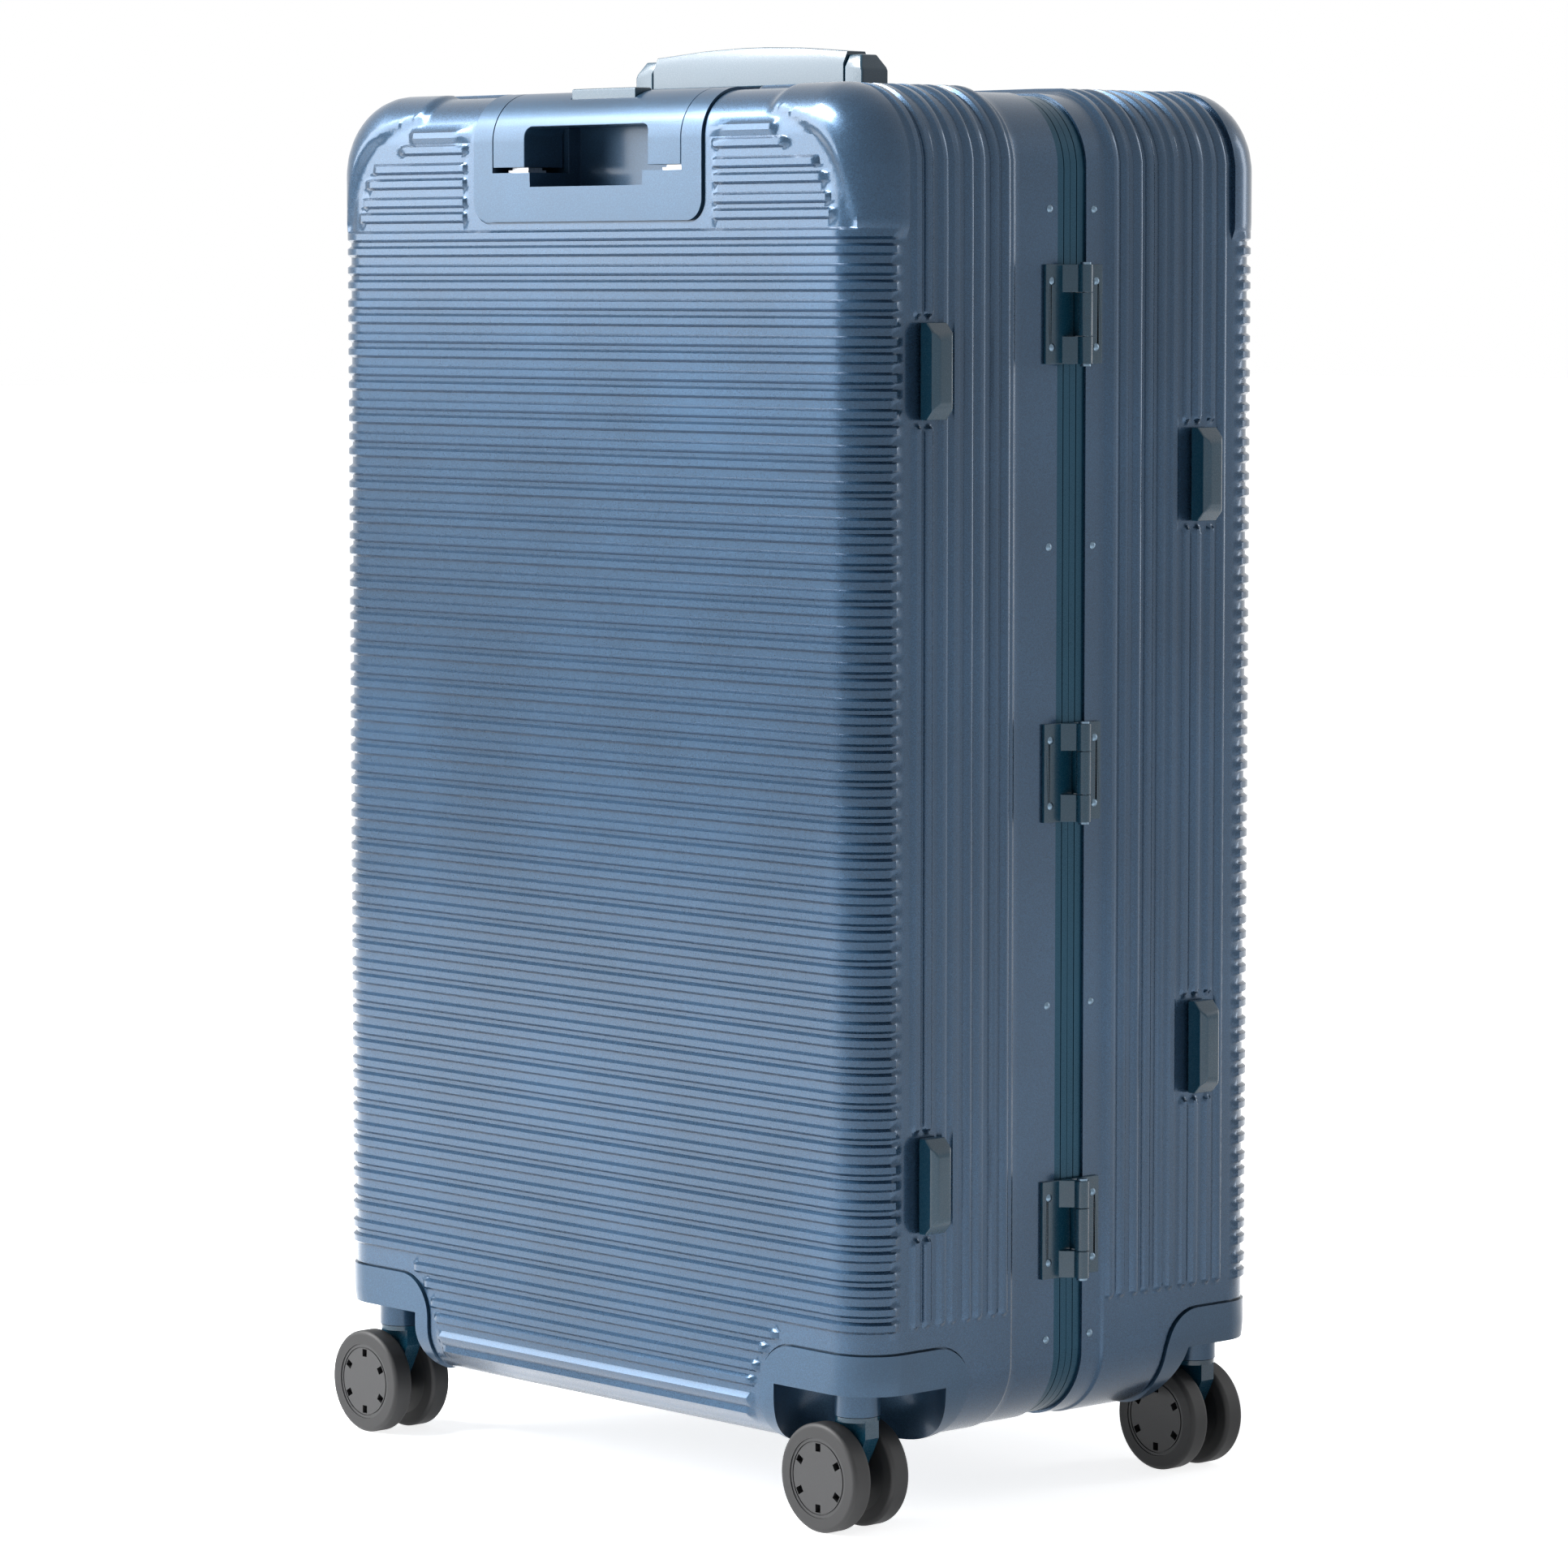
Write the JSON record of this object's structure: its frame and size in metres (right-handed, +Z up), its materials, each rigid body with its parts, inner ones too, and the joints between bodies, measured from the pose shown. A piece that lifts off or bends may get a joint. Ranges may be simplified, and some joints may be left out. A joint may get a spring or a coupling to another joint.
{
  "type": "hard shell suitcase on wheels",
  "caption": "Upright ribbed hard shell suitcase that opens like a book, with a metal frame, telescopic pull handle, carry handles and swivelling twin-wheel casters.",
  "frame": {"origin": "on the floor under the middle of the closed case, in the parting plane of the two halves", "axes": "+Z up, -Y towards the back with the pull-out handle, +X towards the hinges"},
  "size_m": [0.4923, 0.309, 0.8078],
  "materials": {
    "shell": "satin metallic blue",
    "frame": "blue anodised",
    "trim": "satin blue",
    "steel": "satin",
    "tube": "satin anodised",
    "gasket": "matte",
    "bracket": "matte",
    "lining": "woven",
    "webbing": "woven",
    "buckle": "matte",
    "fork": "satin blue",
    "tyre": "matte",
    "hub": "matte"
  },
  "bodies": {
    "rear_half": {"rear_shell": "shell", "rear_frame": "frame", "frame_gasket": "gasket", "rear_wheel_housings": "shell", "rear_side_feet": "trim", "rear_hinge_leaves": "trim", "hinge_pins": "steel", "rear_rivets": "steel", "trolley_housing": "shell", "trolley_outer_tubes": "tube", "trolley_foot_bracket": "bracket", "rear_lining": "lining", "packing_straps": "webbing", "strap_buckle": "buckle", "top_handle_mounts": "trim", "side_handle_mounts": "trim", "latch_bases": "trim"},
    "lid": {"lid_shell": "shell", "lid_frame": "frame", "lid_wheel_housings": "shell", "lid_side_feet": "trim", "lid_hinge_leaves": "trim", "lid_rivets": "steel", "lid_lining": "lining", "divider_panel": "lining", "latch_strikes": "trim"},
    "trolley_middle": {"trolley_middle_tubes": "tube"},
    "trolley_top": {"trolley_inner_tubes": "tube", "trolley_grip": "shell"},
    "release_button": {"release_button": "trim"},
    "top_handle": {"top_handle": "trim"},
    "side_handle": {"side_handle": "trim"},
    "latch_upper": {"latch_lever_upper": "trim"},
    "latch_lower": {"latch_lever_lower": "trim"},
    "caster_rear_right": {"caster_fork_rear_right": "fork", "caster_axle_rear_right": "steel"},
    "wheel_rear_right_a": {"tyre_rear_right_a": "tyre", "hub_rear_right_a": "hub"},
    "wheel_rear_right_b": {"tyre_rear_right_b": "tyre", "hub_rear_right_b": "hub"},
    "caster_rear_left": {"caster_fork_rear_left": "fork", "caster_axle_rear_left": "steel"},
    "wheel_rear_left_a": {"tyre_rear_left_a": "tyre", "hub_rear_left_a": "hub"},
    "wheel_rear_left_b": {"tyre_rear_left_b": "tyre", "hub_rear_left_b": "hub"},
    "caster_lid_right": {"caster_fork_lid_right": "fork", "caster_axle_lid_right": "steel"},
    "wheel_lid_right_a": {"tyre_lid_right_a": "tyre", "hub_lid_right_a": "hub"},
    "wheel_lid_right_b": {"tyre_lid_right_b": "tyre", "hub_lid_right_b": "hub"},
    "caster_lid_left": {"caster_fork_lid_left": "fork", "caster_axle_lid_left": "steel"},
    "wheel_lid_left_a": {"tyre_lid_left_a": "tyre", "hub_lid_left_a": "hub"},
    "wheel_lid_left_b": {"tyre_lid_left_b": "tyre", "hub_lid_left_b": "hub"}
  },
  "joints": [
    {"name": "lid_hinge", "type": "hinge", "parent": "rear_half", "child": "lid", "pos_m": [0.2375, 0, 0.408], "axis": [0, 0, -1], "range_deg": [0, 180]},
    {"name": "trolley_first_stage", "type": "slide", "parent": "rear_half", "child": "trolley_middle", "axis": [0, 0, 1], "range_m": [0, 0.19]},
    {"name": "trolley_second_stage", "type": "slide", "parent": "trolley_middle", "child": "trolley_top", "axis": [0, 0, 1], "range_m": [0, 0.19]},
    {"name": "release_button_press", "type": "slide", "parent": "trolley_top", "child": "release_button", "axis": [0, 0, -1], "range_m": [0, 0.003]},
    {"name": "top_handle_lift", "type": "slide", "parent": "rear_half", "child": "top_handle", "axis": [0, 0, 1], "range_m": [0, 0.017]},
    {"name": "side_handle_lift", "type": "slide", "parent": "rear_half", "child": "side_handle", "axis": [-1, 0, 0], "range_m": [0, 0.017]},
    {"name": "latch_upper_turn", "type": "hinge", "parent": "rear_half", "child": "latch_upper", "pos_m": [-0.2328, -0.026, 0.6], "axis": [0, 0, 1], "range_deg": [0, 100]},
    {"name": "latch_lower_turn", "type": "hinge", "parent": "rear_half", "child": "latch_lower", "pos_m": [-0.2328, -0.026, 0.218], "axis": [0, 0, 1], "range_deg": [0, 100]},
    {"name": "swivel_rear_right", "type": "hinge", "parent": "rear_half", "child": "caster_rear_right", "pos_m": [0.197, -0.131, 0.07], "axis": [0, 0, 1], "continuous": true},
    {"name": "spin_rear_right_a", "type": "hinge", "parent": "caster_rear_right", "child": "wheel_rear_right_a", "pos_m": [0.187, -0.145, 0.03], "axis": [0, 1, 0], "continuous": true},
    {"name": "spin_rear_right_b", "type": "hinge", "parent": "caster_rear_right", "child": "wheel_rear_right_b", "pos_m": [0.187, -0.117, 0.03], "axis": [0, 1, 0], "continuous": true},
    {"name": "swivel_rear_left", "type": "hinge", "parent": "rear_half", "child": "caster_rear_left", "pos_m": [-0.197, -0.131, 0.07], "axis": [0, 0, 1], "continuous": true},
    {"name": "spin_rear_left_a", "type": "hinge", "parent": "caster_rear_left", "child": "wheel_rear_left_a", "pos_m": [-0.207, -0.145, 0.03], "axis": [0, 1, 0], "continuous": true},
    {"name": "spin_rear_left_b", "type": "hinge", "parent": "caster_rear_left", "child": "wheel_rear_left_b", "pos_m": [-0.207, -0.117, 0.03], "axis": [0, 1, 0], "continuous": true},
    {"name": "swivel_lid_right", "type": "hinge", "parent": "lid", "child": "caster_lid_right", "pos_m": [0.197, 0.131, 0.07], "axis": [0, 0, 1], "continuous": true},
    {"name": "spin_lid_right_a", "type": "hinge", "parent": "caster_lid_right", "child": "wheel_lid_right_a", "pos_m": [0.187, 0.117, 0.03], "axis": [0, 1, 0], "continuous": true},
    {"name": "spin_lid_right_b", "type": "hinge", "parent": "caster_lid_right", "child": "wheel_lid_right_b", "pos_m": [0.187, 0.145, 0.03], "axis": [0, 1, 0], "continuous": true},
    {"name": "swivel_lid_left", "type": "hinge", "parent": "lid", "child": "caster_lid_left", "pos_m": [-0.197, 0.131, 0.07], "axis": [0, 0, 1], "continuous": true},
    {"name": "spin_lid_left_a", "type": "hinge", "parent": "caster_lid_left", "child": "wheel_lid_left_a", "pos_m": [-0.207, 0.117, 0.03], "axis": [0, 1, 0], "continuous": true},
    {"name": "spin_lid_left_b", "type": "hinge", "parent": "caster_lid_left", "child": "wheel_lid_left_b", "pos_m": [-0.207, 0.145, 0.03], "axis": [0, 1, 0], "continuous": true}
  ]
}
